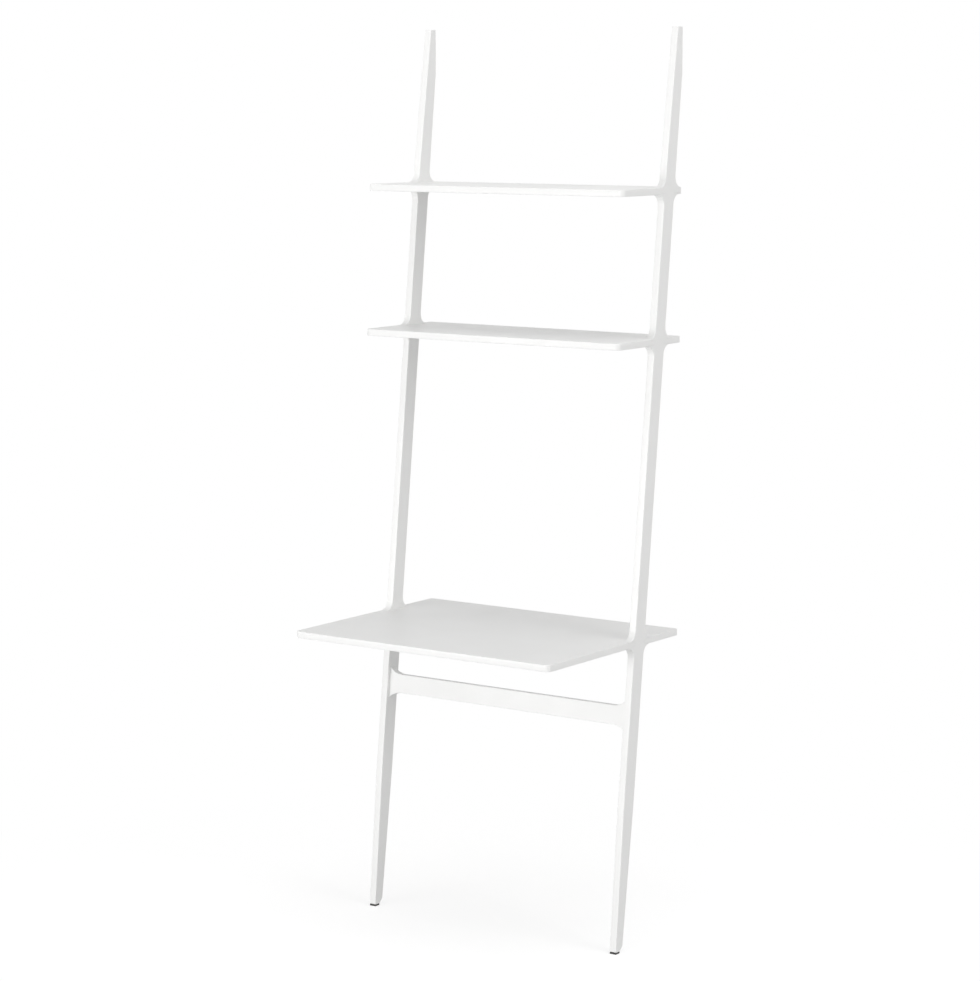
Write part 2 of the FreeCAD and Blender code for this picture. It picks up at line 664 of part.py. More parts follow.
for item in document.Objects:
    if "Invalid" in item.State or "Error" in item.State:
        raise RuntimeError(f"{item.Label} did not recompute")
for item in nodes:
    if item.Shape.isNull() or not item.Shape.isValid():
        raise RuntimeError(f"{item.Label} has no valid shape")
os.makedirs("parts", exist_ok=True)
for item in nodes:
    item.Shape.exportStep(os.path.join("parts", f"{item.Label}.step"))
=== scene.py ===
import math

import bmesh
import bpy
import numpy as np
from bpy.props import FloatProperty, FloatVectorProperty, PointerProperty
from mathutils import Matrix, Vector


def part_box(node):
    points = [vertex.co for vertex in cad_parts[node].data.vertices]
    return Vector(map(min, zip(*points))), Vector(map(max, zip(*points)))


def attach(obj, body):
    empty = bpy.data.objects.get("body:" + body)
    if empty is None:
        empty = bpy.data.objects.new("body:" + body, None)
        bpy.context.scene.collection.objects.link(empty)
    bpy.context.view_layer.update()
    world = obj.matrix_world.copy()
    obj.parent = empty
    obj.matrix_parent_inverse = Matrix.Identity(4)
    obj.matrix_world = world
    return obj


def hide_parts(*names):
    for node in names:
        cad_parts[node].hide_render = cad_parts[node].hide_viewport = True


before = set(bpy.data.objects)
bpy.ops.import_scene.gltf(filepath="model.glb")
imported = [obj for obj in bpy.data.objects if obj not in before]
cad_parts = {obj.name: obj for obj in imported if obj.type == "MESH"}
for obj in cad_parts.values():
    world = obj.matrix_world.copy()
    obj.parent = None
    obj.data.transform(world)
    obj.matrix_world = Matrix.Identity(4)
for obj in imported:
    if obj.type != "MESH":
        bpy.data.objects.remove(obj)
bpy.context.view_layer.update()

bl_info = {
    "name": "Ladder desk looks",
    "version": (1, 0, 0),
    "blender": (4, 5, 0),
    "location": "View3D > Sidebar > Ladder desk",
    "description": "Boards, fittings, finishes, light and camera for a white lacquered ladder desk",
    "category": "Object",
}

MM = 0.001
X, Y, Z = np.eye(3)
PLATES = {"desk": "desk_top", "lower_shelf": "lower_shelf", "upper_shelf": "upper_shelf"}
SIDES = {"left": -1, "right": 1}

# The picture's height and the focal length in pixels, and the sensor in millimetres.
PHOTO_HEIGHT = 981
FOCAL_PIXELS = 2900.1
SENSOR = 36.0

# How far a cutter runs past a surface, past a plate and past a board's end or eased corner.
OVERRUN = 1 * MM
PAST_PLATE = 5 * OVERRUN
PAST_END = 10 * OVERRUN
PAST_CORNER = 30 * MM

# Steps in arcs, and points round bores and turned pieces.
ARRIS_STEPS = 5
FLARE_STEPS = 12
EASE_STEPS = 12
PLATE_CORNER_STEPS = 14
RAIL_FLARE_STEPS = 14
BORE_POINTS = 24
TURNED_POINTS = 32

# Flat border inside an arris, distance at which points merge, and the least angle of a sharp edge.
FLAT_BORDER = 0.4 * MM
WELD = 0.002 * MM
SHARP = math.radians(33)

# Rounding of the uprights' feet and tips.
END_ROUND = 3 * MM
HEEL_ROUND = 2 * END_ROUND

# Foot pads.
PAD_CORNER = 1.5 * MM
PAD_STEPS = 6
PAD_ARRIS = 0.7 * MM
GROOVE_HALF = 0.6 * MM
GROOVE_DEPTH = 0.8 * MM
GROOVE_PLACES = np.array((-4.5, -1.5, 1.5, 4.5)) * MM

# Cam locks. The cavity is a radius. Head, neck and the cross's lengths and width are halves.
CAM_ARRIS = 0.5 * MM
CAM_BORE_GAP = 0.1 * MM
CAM_BORE_FLOOR = 0.5 * MM
CAM_CAVITY = 5.6 * MM
CAM_THROW = 0.4 * MM
CAM_HEAD = 3.9 * MM
CAM_NECK = 2.6 * MM
CAM_PAST_DRUM = 12.4 * MM
CROSS_LONG = 4.5 * MM
CROSS_SHORT = 2.6 * MM
CROSS_HALF = 0.8 * MM
CROSS_DEPTH = 2.4 * MM
ARROW = np.array([(-6.3, 0), (-4.9, -1.1), (-4.9, 1.1)]) * MM
ARROW_DEPTH = 0.4 * MM

# Connecting bolts. Bore and channel are radii. The head's profile is places along it and radii.
BOLT_BORE = 2.25 * MM
BOLT_BORE_DEPTH = 11.5 * MM
BOLT_CHANNEL = 3.8 * MM
BOLT_RADIUS = 2.2 * MM
BOLT_POINT = 1.5 * MM
BOLT_THREAD = 11 * MM
BOLT_THREAD_POINTS = 67
BOLT_PITCH = 1.8 * MM
BOLT_THREAD_DEPTH = 0.45 * MM
BOLT_HEAD_START = 31.554 * MM
BOLT_NECK = 0.8 * MM
BOLT_HEAD = np.array(((0, 3.2), (0.4, 3.5), (1.3, 3.5), (2.1, 3.5), (2.5, 3.1))) * MM

# Loose tenons and their mortises.
TENON_FIT = 0.05 * MM
TENON_LENGTH = 30 * MM
TENON_ARRIS = 0.8 * MM
TENON_EDGE = 1 * MM
FLUTES = 12
FLUTE_DEPTH = 0.12 * MM
FLUTE_POINTS = 97
UPRIGHT_MORTISE = 12.5 * MM
RAIL_MORTISE = 18.5 * MM

# Keyhole plates and the hollows for them. Pairs are half widths and half heights.
STRIP = 6 * MM, 22 * MM
STRIP_ROUND = 1 * MM
STRIP_THICKNESS = 2 * MM
STRIP_ARRIS = 0.3 * MM
STRIP_THROUGH = 3 * MM
STRIP_STEPS = 4
SLOT = 2.2 * MM, 7.7 * MM
SLOT_ROUND = 2.19 * MM
SLOT_STEPS = 10
ENTRY_RADIUS = 4 * MM
ENTRY_DROP = 5.5 * MM
KEYHOLE_DROP = 8 * MM
RECESS = 6.2 * MM, 22.2 * MM
RECESS_ROUND = 1.2 * MM
ROOM = 4.6 * MM, 10.1 * MM
ROOM_ROUND = 4.4 * MM
ROOM_STEPS = 8
ROOM_DEPTH = 8 * MM

# Keyhole plate screws. Profiles are places along the screw and radii.
SCREW_RISE = 12 * MM
SCREW_BORE = 1.55 * MM
SCREW_BORE_DEPTH = 16.5 * MM
SCREW_SINK = np.array(((-1, 3.05), (0, 3.05), (2, 1.55), (3, 1.55))) * MM
SCREW_HEAD = 3.0 * MM
SCREW_SHANK = 1.5 * MM
SCREW_TAPER = 0.75
SCREW_PITCH = 1.2 * MM
SCREW_THREAD_DEPTH = 0.4 * MM
SCREW_THREAD_START = 2.8 * MM
SCREW_THREAD_POINTS = 79
SCREW_END = 16 * MM
SCREW_CROSS = 1.7 * MM
SCREW_CROSS_HALF = 0.4 * MM
SCREW_CROSS_DEPTH = 1.3 * MM

# The floor: its half width in metres, what it sends back to the desk, the matt coat and the glow
# that the camera sees near the desk, and the distances over which they fade to plain white.
FLOOR_REACH = 30.0
FLOOR_MATT = 0.7
FLOOR_COAT = 0.55
FLOOR_GLOW = 0.625
FLOOR_FADE = 0.6, 1.6
WHITE = 1.0

# Place, target and size of each lamp, in metres.
LAMPS = {
    "front": ((-1.6, -9.0, 0.7), (0, 0, 0.8), (5.0, 3.0)),
    "fill": ((-3.2, -5.4, 0.5), (0, 0, 0.7), (2.6, 1.8)),
    "side": ((8.0, -1.05, 2.8), (0, 0, 1.0), (4.0, 4.0)),
    "top": ((0.8, -0.7, 5.4), (0, 0, 0.8), (4.5, 3.5)),
}


def linear(hex_colour):
    """Turns an sRGB hex colour into linear light."""
    channels = [int(hex_colour[place:place + 2], 16) / 255 for place in (1, 3, 5)]
    return [c / 12.92 if c <= 0.04045 else ((c + 0.055) / 1.055) ** 2.4 for c in channels]


def length(name, description, millimetres):
    """A property for a length, given in millimetres and kept in metres."""
    return FloatProperty(name=name, description=description, unit="LENGTH", subtype="DISTANCE",
                         precision=5, default=millimetres * MM)


def angle(name, description, degrees):
    """A property for an angle, given in degrees and kept in radians."""
    return FloatProperty(name=name, description=description, subtype="ANGLE",
                         default=math.radians(degrees))


def colour(name, description, hex_colour):
    """A property for a colour, given as sRGB hex and kept in linear light."""
    return FloatVectorProperty(name=name, description=description, subtype="COLOR",
                               default=linear(hex_colour))


def power(name, description, watts):
    """A property for a lamp's power."""
    return FloatProperty(name=name, description=description, unit="POWER", default=watts)


class DeskShape(bpy.types.PropertyGroup):
    """Sizes of the boards and joints"""
    lean: angle("Lean", "Angle of the uprights from plumb", 6.4)
    arris: length("Arris", "Radius of the boards' softened edges", 1.5)
    corner: length("Plate corner", "Radius of the plates' front corners seen from above", 14)
    back_corner: length("Back corner", "Easing of the plates' square back corners", 3)
    upright_depth: length("Upright depth", "From an upright's front to its back, level", 42)
    foot_depth: length("Foot depth", "Depth of the tapered foot", 28)
    foot_taper: length("Foot taper", "Height at which the foot starts to taper", 345)
    heel: length("Heel cut", "Slanting cut behind the foot", 10.5)
    wall_face: length("Wall face", "Height of the plumb face that meets the wall", 106.5)
    tip_depth: length("Tip depth", "Depth of the upright's top", 20)
    tip_taper: length("Tip taper", "From the upper shelf to where the tip starts to taper", 40)
    flare: length("Flare", "Radius of the flares into the plates", 25)
    flare_reach: length("Flare reach", "From the upright's middle line to a flare's end", 51)
    lip: length("Flare lip", "Thickness of a flare where it is let into a plate", 2.5)
    least_horn: length("Least horn", "Shortest end of a plate left behind a flare's lip", 12)
    joint_gap: length("Joint gap", "Gap between a plate and an upright", 0.2)
    rail_width: length("Rail width", "Width of the rail's middle", 46)
    rail_drop: length("Rail drop", "From the desk's top to the rail's middle", 181)
    rail_thickness: length("Rail thickness", "Thickness of the rail", 18)
    rail_setback: length("Rail setback", "From the uprights' front to the rail's front", 9)
    rail_flare: length("Rail flare", "Length of the rail's flared end", 36)
    rail_flare_rise: length("Rail flare rise", "How far a flared end rises over its edge", 15)
    tenon_width: length("Tenon width", "Width of the rail's loose tenons", 40)
    tenon_thickness: length("Tenon thickness", "Thickness of the rail's loose tenons", 8)
    pad_spread: length("Pad spread", "How far the foot pads bulge past their moulded size", 0.9)
    cam_depth: length("Bolt depth", "From a plate's underside to its bolts", 8)


class DeskFinish(bpy.types.PropertyGroup):
    """Colours and texture of the materials"""
    lacquer: colour("Lacquer", "Colour of the sprayed lacquer", "#F5F5F4")
    rubber: colour("Rubber", "Colour of the foot pads", "#3A3938")
    zinc: colour("Zinc plate", "Colour of plated steel", "#C6C8CA")
    casting: colour("Zinc casting", "Colour of the cam locks", "#A4A6A9")
    beech: colour("Beech", "Colour of the tenons", "#D3B18A")
    peel: length("Orange peel", "Width of the lacquer's ripples", 3)


class DeskStage(bpy.types.PropertyGroup):
    """Camera and light"""
    turn: angle("Camera turn", "Angle round the desk from straight in front", 35.06)
    tilt: angle("Camera tilt", "Angle of the camera above its target", 7.91)
    distance: FloatProperty(
        name="Camera distance", description="From the camera to its target", unit="LENGTH",
        default=6.975)
    target: FloatVectorProperty(
        name="Camera target", description="Point at the picture's middle", subtype="TRANSLATION",
        default=(-0.077, 0.124, 1.048))
    focal: FloatProperty(
        name="Focal length", description="Lens for a 36 mm sensor",
        default=SENSOR * FOCAL_PIXELS / PHOTO_HEIGHT)
    sky: FloatProperty(
        name="Sky", description="Strength of the even light from all round", default=0.465)
    front: power("Front lamp", "Power of the wide lamp in front", 386.0)
    fill: power("Fill lamp", "Power of the low lamp at the left", 62.0)
    side: power("Side lamp", "Power of the wide lamp at the right", 163.0)
    top: power("Top lamp", "Power of the wide lamp overhead", 58.0)


def unit(vectors):
    """Each vector divided by its length."""
    return vectors / np.linalg.norm(vectors, axis=-1, keepdims=True)


def rounded(corners, radii, steps):
    """Closed outline through corners, each turned in an arc of its radius. The arc's middle lies on
    the bisector of the two runs, radius / sin(half angle) from the corner, and its points sweep
    evenly from one touching point to the other. A corner with no radius keeps its point."""
    corners = np.asarray(corners, float)
    radii = np.broadcast_to(radii, len(corners))
    before = unit(np.roll(corners, 1, axis=0) - corners)
    after = unit(np.roll(corners, -1, axis=0) - corners)
    half = np.arccos(np.clip((before * after).sum(axis=1), -1, 1)) / 2
    reach = radii / np.tan(half)
    bisector = unit(np.where(radii[:, None] > 0, before + after, 1.0))
    middle = corners + bisector * (radii / np.sin(half))[:, None]
    start, end = (corners + run * reach[:, None] - middle for run in (before, after))
    first = np.arctan2(start[:, 1], start[:, 0])
    sweep = np.arctan2(end[:, 1], end[:, 0]) - first
    sweep = (sweep + np.pi) % (2 * np.pi) - np.pi
    turn = first[:, None] + sweep[:, None] * np.linspace(0, 1, steps + 1)
    spokes = np.stack((np.cos(turn), np.sin(turn)), axis=-1)
    arcs = middle[:, None] + radii[:, None, None] * spokes
    arcs[:, 0][radii == 0] = corners[radii == 0]
    kept = np.ones(turn.shape, bool)
    kept[:, 1:] = (radii > 0)[:, None]
    return arcs[kept]


def circle(radius, u=0.0, v=0.0, around=48):
    """Points (u + r cos t, v + r sin t) for t evenly round the turn."""
    turn = np.arange(around) * 2 * np.pi / around
    return np.stack((u + radius * np.cos(turn), v + radius * np.sin(turn)), axis=-1)


def rectangle(half_u, half_v, u=0.0, v=0.0):
    """The four corners at half_u and half_v from the middle (u, v)."""
    return np.array([(u - half_u, v - half_v), (u + half_u, v - half_v),
                     (u + half_u, v + half_v), (u - half_u, v + half_v)])


def inset_paths(outline):
    """How each corner moves when every run shifts inwards by one unit: the vector whose products
    with the inward normals of the two runs that meet there are both one."""
    run = np.roll(outline, -1, axis=0) - outline
    after = unit(np.stack((-run[:, 1], run[:, 0]), axis=-1))
    before = np.roll(after, 1, axis=0)
    return (before + after) / (1 + (before * after).sum(axis=1, keepdims=True))


def board_rings(outline, thickness, arris):
    """Rings of a board with softened edges. Each arris is a quarter circle: the outline is inset by
    r (1 - sin t) at r (1 - cos t) from the face, and one more ring inside keeps the face flat."""
    turn = np.linspace(0, np.pi / 2, ARRIS_STEPS + 1)
    inset, rise = arris * (1 - np.sin(turn)), arris * (1 - np.cos(turn))
    border = [arris + FLAT_BORDER]
    insets = np.concatenate((border, inset, inset[::-1], border))
    levels = np.concatenate(([0.0], rise, thickness - rise[::-1], [thickness]))
    points = outline + insets[:, None, None] * inset_paths(outline)
    depth = np.broadcast_to(levels[:, None, None], points.shape[:2] + (1,))
    return np.concatenate((points, depth), axis=-1)


def prism_rings(outline, start, end):
    """Two rings: the outline, turned anticlockwise, at each end of a straight prism."""
    u, v = outline.T
    area = (u * np.roll(v, -1) - v * np.roll(u, -1)).sum()
    outline = outline if area > 0 else outline[::-1]
    ends = np.array(sorted((start, end)))
    depth = np.broadcast_to(ends[:, None, None], (2, len(outline), 1))
    return np.concatenate((np.broadcast_to(outline, (2,) + outline.shape), depth), axis=-1)


def turned_rings(along, radius, thread=None):
    """Rings of a turned piece: a circle of the profile's radius at each place along its axis. A
    thread of (start, end, pitch, depth) cuts the radius by depth times how far along / pitch - turn
    is from a crest, faded in over its first and last pitch."""
    turn = np.arange(TURNED_POINTS) * 2 * np.pi / TURNED_POINTS
    shown = np.broadcast_to(radius[:, None], (len(along), TURNED_POINTS)).copy()
    if thread:
        start, end, pitch, depth = thread
        phase = (along[:, None] / pitch - turn / (2 * np.pi)) % 1
        fade = np.clip(np.minimum(along - start, end - along) / pitch, 0, 1)
        shown -= depth * fade[:, None] * np.abs(2 * phase - 1)
    places = np.broadcast_to(along[:, None], shown.shape)
    return np.stack((shown * np.cos(turn), shown * np.sin(turn), places), axis=-1)


def shell(rings, u=X, v=Y, origin=(0, 0, 0)):
    """Points and faces of the closed surface through equal rings: quads between neighbours and one
    face over each end. The rings' third number runs along u x v."""
    count, around = rings.shape[:2]
    axes = np.array((u, v, np.cross(u, v)))
    points = np.asarray(origin, float) + rings.reshape(-1, 3) @ axes
    here = np.arange(around)
    after = np.roll(here, -1)
    base = np.arange(count - 1)[:, None] * around
    quads = np.stack((base + here, base + after, base + around + after, base + around + here),
                     axis=-1)
    ends = [here[::-1].tolist(), (here + (count - 1) * around).tolist()]
    return points, quads.reshape(-1, 4).tolist() + ends


def add_object(name, shells):
    """One mesh object at the origin from one or more shells."""
    starts = np.cumsum([0] + [len(points) for points, _ in shells])
    faces = [[int(start) + corner for corner in face]
             for start, (_, own) in zip(starts, shells) for face in own]
    mesh = bpy.data.meshes.new(name)
    mesh.from_pydata(np.concatenate([points for points, _ in shells]).tolist(), [], faces)
    piece = bpy.data.objects.new(name, mesh)
    bpy.context.scene.collection.objects.link(piece)
    return piece


def cut(piece, cutters):
    """Takes each cutter's shell out of the piece by an exact difference."""
    tools = [add_object(f"{piece.name}_cutter_{number}", [cutter])
             for number, cutter in enumerate(cutters)]
    for tool in tools:
        step = piece.modifiers.new(tool.name, "BOOLEAN")
        step.operation, step.solver, step.object = "DIFFERENCE", "EXACT", tool
    evaluated = piece.evaluated_get(bpy.context.evaluated_depsgraph_get())
    worked, blank = bpy.data.meshes.new_from_object(evaluated), piece.data
    piece.modifiers.clear()
    piece.data = worked
    for mesh in [blank] + [tool.data for tool in tools]:
        bpy.data.meshes.remove(mesh)


def complete(piece, nodes, material, body="frame"):
    """Merges and shades a finished piece, makes sure that it is closed, and puts it in its nodes'
    place."""
    work = bmesh.new()
    work.from_mesh(piece.data)
    bmesh.ops.remove_doubles(work, verts=work.verts, dist=WELD)
    bmesh.ops.dissolve_degenerate(work, edges=work.edges, dist=WELD)
    is_open = any(len(edge.link_faces) != 2 for edge in work.edges)
    work.to_mesh(piece.data)
    work.free()
    if is_open:
        raise RuntimeError(f"{piece.name} isn't a closed surface")
    piece.data.shade_smooth()
    piece.data.set_sharp_from_angle(angle=SHARP)
    piece.data.materials.clear()
    piece.data.materials.append(material)
    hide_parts(*nodes)
    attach(piece, body)


def place_of(node):
    """The lowest and highest corner of a CAD node."""
    return (np.array(corner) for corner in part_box(node))


class Build:
    """Places that several pieces share, from the frame and the shape's sizes, in metres."""

    def __init__(self):
        self.shape = shape = bpy.context.scene.desk_shape
        low, high = place_of("right_upright")
        self.outer, self.wall, self.tip = high
        self.inner, self.foot = low[0], low[2]
        self.column = (self.inner + self.outer) / 2
        self.half = shape.upright_depth / 2
        self.wall_cut = self.tip - shape.wall_face
        self.levels = {}
        for plate, node in PLATES.items():
            low, high = place_of(node)
            self.levels[plate] = low[2], high[2]
        low, high = place_of("desk_right_cam")
        self.cam_place = (low[0] + high[0]) / 2
        self.cam_radius = (high[0] - low[0]) / 2
        self.cam_length = high[2] - low[2]
        lean = shape.lean
        self.rail_up = np.array((0, math.sin(lean), math.cos(lean)))
        self.rail_back = np.array((0, math.cos(lean), -math.sin(lean)))
        level = self.levels["desk"][1] - shape.rail_drop
        setback = shape.rail_setback + shape.rail_thickness / 2 - self.half * math.cos(lean)
        self.rail_middle = np.array((0, self.axis(level), level)) + self.rail_back * setback

    def axis(self, level):
        """Where the uprights' leaning middle line stands at a height."""
        return self.wall - self.half - math.tan(self.shape.lean) * (self.wall_cut - level)

    def bolt_level(self, plate):
        """Height of a plate's bolts."""
        return self.levels[plate][0] + self.shape.cam_depth

    def lip_end(self, plate, way):
        """Where a flare's lip ends: at its reach, or at the wall where that is close behind."""
        end = self.axis(self.bolt_level(plate)) + way * self.shape.flare_reach
        return self.wall if end > self.wall - self.shape.least_horn else end

    def keyhole_levels(self):
        """Heights of the keyhole plate's middle, of its keyhole's middle and of its screw."""
        middle = self.tip - self.shape.wall_face / 2
        return middle, middle - KEYHOLE_DROP, middle + SCREW_RISE

    def mortise(self, start, end):
        """What is cut for a tenon, from start to end along X."""
        outline = rectangle(self.shape.tenon_thickness / 2 + TENON_FIT,
                            self.shape.tenon_width / 2 + TENON_FIT)
        return self.across_rail(outline, start, end)

    def across_rail(self, outline, start, end):
        """A prism along X whose outline lies square to the rail, about its middle."""
        return shell(prism_rings(outline, start, end), self.rail_back, self.rail_up,
                     self.rail_middle)


def add_node(tree, kind, inputs=None, **settings):
    """Adds a node, sets its properties, and fills each named input with a value or a link."""
    node = tree.nodes.new(kind)
    for name, value in settings.items():
        setattr(node, name, value)
    for name, value in (inputs or {}).items():
        if isinstance(value, bpy.types.NodeSocket):
            tree.links.new(value, node.inputs[name])
        else:
            node.inputs[name].default_value = value
    return node


def noise(tree, place, width, detail, distortion=0.0):
    """Noise with features of about this width, from 0 to 1."""
    return add_node(tree, "ShaderNodeTexNoise", {
        "Vector": place, "Scale": 1 / width, "Detail": detail, "Distortion": distortion,
    }).outputs["Fac"]


def cells(tree, place, width):
    """Distance from the middle of the nearest of many cells of about this width."""
    return add_node(tree, "ShaderNodeTexVoronoi", {
        "Vector": place, "Scale": 1 / width}).outputs["Distance"]


def spread(tree, value, given, wanted):
    """The value, stretched from the given range to the wanted one."""
    return add_node(tree, "ShaderNodeMapRange", {
        "Value": value, "From Min": given[0], "From Max": given[1],
        "To Min": wanted[0], "To Max": wanted[1]}).outputs["Result"]


def blend(tree, factor, first, second):
    """Two colours mixed by a factor."""
    return add_node(tree, "ShaderNodeMix", {"Factor": factor, 6: first, 7: second},
                    data_type="RGBA").outputs[2]


def bump(tree, height, strength, distance):
    """A normal tilted by a height pattern."""
    return add_node(tree, "ShaderNodeBump", {
        "Height": height, "Strength": strength, "Distance": distance}).outputs["Normal"]


def shade(tint, factor=1.0):
    """A colour with its light scaled, as a socket takes it."""
    return (*(factor * channel for channel in tint), 1)


def new_material(name, inputs):
    """A material with these values on its shader, and the Object coordinates for its patterns."""
    material = bpy.data.materials.new(name)
    material.use_nodes = True
    tree = material.node_tree
    shader = tree.nodes["Principled BSDF"]
    for socket, value in inputs.items():
        shader.inputs[socket].default_value = value
    place = add_node(tree, "ShaderNodeTexCoord").outputs["Object"]
    return material, tree, shader, place


def link(tree, shader, patterns):
    """Leads each pattern to the shader's socket of that name."""
    for socket, pattern in patterns.items():
        tree.links.new(pattern, shader.inputs[socket])


def satin_lacquer():
    """Sprayed satin lacquer on fibreboard: an even white with a soft sheen. The spray leaves
    ripples a few millimetres wide that only break up highlights, and the film's gloss drifts a
    little over a board."""
    name, finish = "satin_lacquer_sprayed", bpy.context.scene.desk_finish
    if name in bpy.data.materials:
        return bpy.data.materials[name]
    material, tree, shader, place = new_material(name, {"IOR": 1.5})
    drift = noise(tree, place, width=90 * MM, detail=2.0)
    peel = noise(tree, place, width=finish.peel, detail=1.0)
    link(tree, shader, {
        "Base Color": blend(tree, drift, shade(finish.lacquer), shade(finish.lacquer, 0.985)),
        "Roughness": spread(tree, drift, given=(0.3, 0.7), wanted=(0.36, 0.46)),
        "Normal": bump(tree, peel, strength=0.2, distance=0.04 * MM)})
    return material


def moulded_rubber():
    """Moulded rubber: near black and dull, with the fine spark-eroded grain of its mould and dusty
    patches."""
    rubber = bpy.context.scene.desk_finish.rubber
    material, tree, shader, place = new_material(
        "rubber_moulded", {"Roughness": 0.72, "IOR": 1.52})
    dust = noise(tree, place, width=6 * MM, detail=3.0)
    grain = noise(tree, place, width=0.6 * MM, detail=2.0)
    link(tree, shader, {
        "Base Color": blend(tree, dust, shade(rubber, 0.8), shade(rubber, 1.35)),
        "Normal": bump(tree, grain, strength=0.4, distance=0.06 * MM)})
    return material


def zinc_plate():
    """Zinc-plated steel, barrel plated: a bright grey metal whose clear passivation drifts from
    bluish to straw over a few millimetres, with a fine crystalline texture."""
    name, finish = "steel_zinc_plated", bpy.context.scene.desk_finish
    if name in bpy.data.materials:
        return bpy.data.materials[name]
    material, tree, shader, place = new_material(name, {"Metallic": 1.0})
    drift = noise(tree, place, width=5 * MM, detail=2.0)
    crystal = cells(tree, place, width=0.5 * MM)
    red, green, blue = finish.zinc
    bluish = (0.93 * red, 0.97 * green, 1.03 * blue, 1)
    straw = (1.04 * red, green, 0.92 * blue, 1)
    link(tree, shader, {
        "Base Color": blend(tree, drift, bluish, straw),
        "Roughness": spread(tree, crystal, given=(0.0, 0.8), wanted=(0.26, 0.42))})
    return material


def zinc_casting():
    """Die-cast zinc alloy, tumbled: a dull grey metal with a fine pebbled skin and faint flow
    marks."""
    casting = bpy.context.scene.desk_finish.casting
    material, tree, shader, place = new_material("zinc_die_cast_tumbled", {"Metallic": 1.0})
    flow = noise(tree, place, width=4 * MM, detail=3.0, distortion=1.5)
    pebble = noise(tree, place, width=0.4 * MM, detail=2.0)
    link(tree, shader, {
        "Base Color": blend(tree, flow, shade(casting, 0.82), shade(casting, 1.12)),
        "Roughness": spread(tree, flow, given=(0.3, 0.7), wanted=(0.4, 0.58)),
        "Normal": bump(tree, pebble, strength=0.3, distance=0.05 * MM)})
    return material


def planed_beech():
    """Planed beech along X: pale pinkish wood with fine close grain and short darker flecks."""
    beech = bpy.context.scene.desk_finish.beech
    material, tree, shader, place = new_material("beech_planed", {"Roughness": 0.62, "IOR": 1.5})
    along = add_node(tree, "ShaderNodeMapping", {
        "Vector": place, "Scale": (0.12, 1, 1)}).outputs["Vector"]
    grain = noise(tree, along, width=1.2 * MM, detail=4.0)
    fleck = spread(tree, cells(tree, along, width=0.9 * MM), given=(0.0, 0.3), wanted=(1.0, 0.0))
    ground = blend(tree, grain, shade(beech, 0.82), shade(beech, 1.1))
    link(tree, shader, {
        "Base Color": blend(tree, fleck, ground, shade(beech, 0.6)),
        "Normal": bump(tree, grain, strength=0.3, distance=0.08 * MM)})
    return material


def upright_outline(build):
    """Outline in Y and Z of a leaning blade, from its foot up the back and down the front: the
    foot's taper and heel cut, the plumb wall face, the tapered tip, and at every plate an arm that
    flares from the blade."""
    shape, axis, half = build.shape, build.axis, build.half
    foot, heel, taper = build.foot, build.foot + shape.heel, shape.foot_taper
    tip_taper = build.levels["upper_shelf"][1] + shape.tip_taper
    foot_half = shape.foot_depth / 2

    def arm(plate, way):
        """The corners of one plate's arm, on the back (1) or the front (-1)."""
        low, high = build.levels[plate]
        end = build.lip_end(plate, way) + way * PAST_PLATE
        corners = [(axis(low) + way * half, low, shape.flare), (end, low, 0), (end, high, 0),
                   (axis(high) + way * half, high, shape.flare)]
        return corners[::way]

    corners = [
        (axis(foot) - foot_half, foot, END_ROUND),
        (axis(foot) + foot_half - shape.heel, foot, END_ROUND),
        (axis(heel) + foot_half, heel, HEEL_ROUND),
        (axis(taper) + half, taper, 0)]
    for plate in PLATES:
        corners += arm(plate, 1)
    corners += [
        (build.wall, build.wall_cut, 0),
        (build.wall, build.tip, END_ROUND),
        (build.wall - shape.tip_depth, build.tip, END_ROUND),
        (axis(tip_taper) - half, tip_taper, 0)]
    for plate in reversed(PLATES):
        corners += arm(plate, -1)
    corners.append((axis(taper) - half, taper, 0))
    corners = np.array(corners)
    return rounded(corners[:, :2], corners[:, 2], FLARE_STEPS)


def housing_cutters(build, low_x, high_x, side):
    """What leaves a lip of each flare above and below a plate's horns: between the lips back to the
    blade, and across the lips' ends. Where lips run out to the wall they follow the plate's eased
    corner, a quarter circle whose outside is cut away."""
    shape, axis, cutters = build.shape, build.axis, []
    ease = shape.back_corner
    corner, bend = build.outer - ease, build.wall - ease
    turn = np.linspace(0, np.pi / 2, EASE_STEPS + 1)
    arc = np.stack((corner + ease * np.cos(turn), bend + ease * np.sin(turn)), axis=-1)
    outside = [(corner, bend + PAST_CORNER), (corner + PAST_CORNER, bend + PAST_CORNER),
               (corner + PAST_CORNER, bend)]
    eased = np.concatenate((arc, outside)) * (side, 1)
    for plate, (low, high) in build.levels.items():
        under, over = low + shape.lip, high - shape.lip
        floor, ceiling = low - PAST_PLATE, high + PAST_PLATE
        for way in (-1, 1):
            end, half = build.lip_end(plate, way), way * build.half
            far = end + way * PAST_END
            outline = np.array([
                (axis(under) + half, under), (end, under), (end, floor), (far, floor),
                (far, ceiling), (end, ceiling), (end, over), (axis(over) + half, over)])
            cutters.append(shell(prism_rings(outline, low_x - OVERRUN, high_x + OVERRUN), Y, Z))
            if end == build.wall:
                rings = prism_rings(eased, low - shape.flare, high + shape.flare)
                cutters.append(shell(rings))
    return cutters


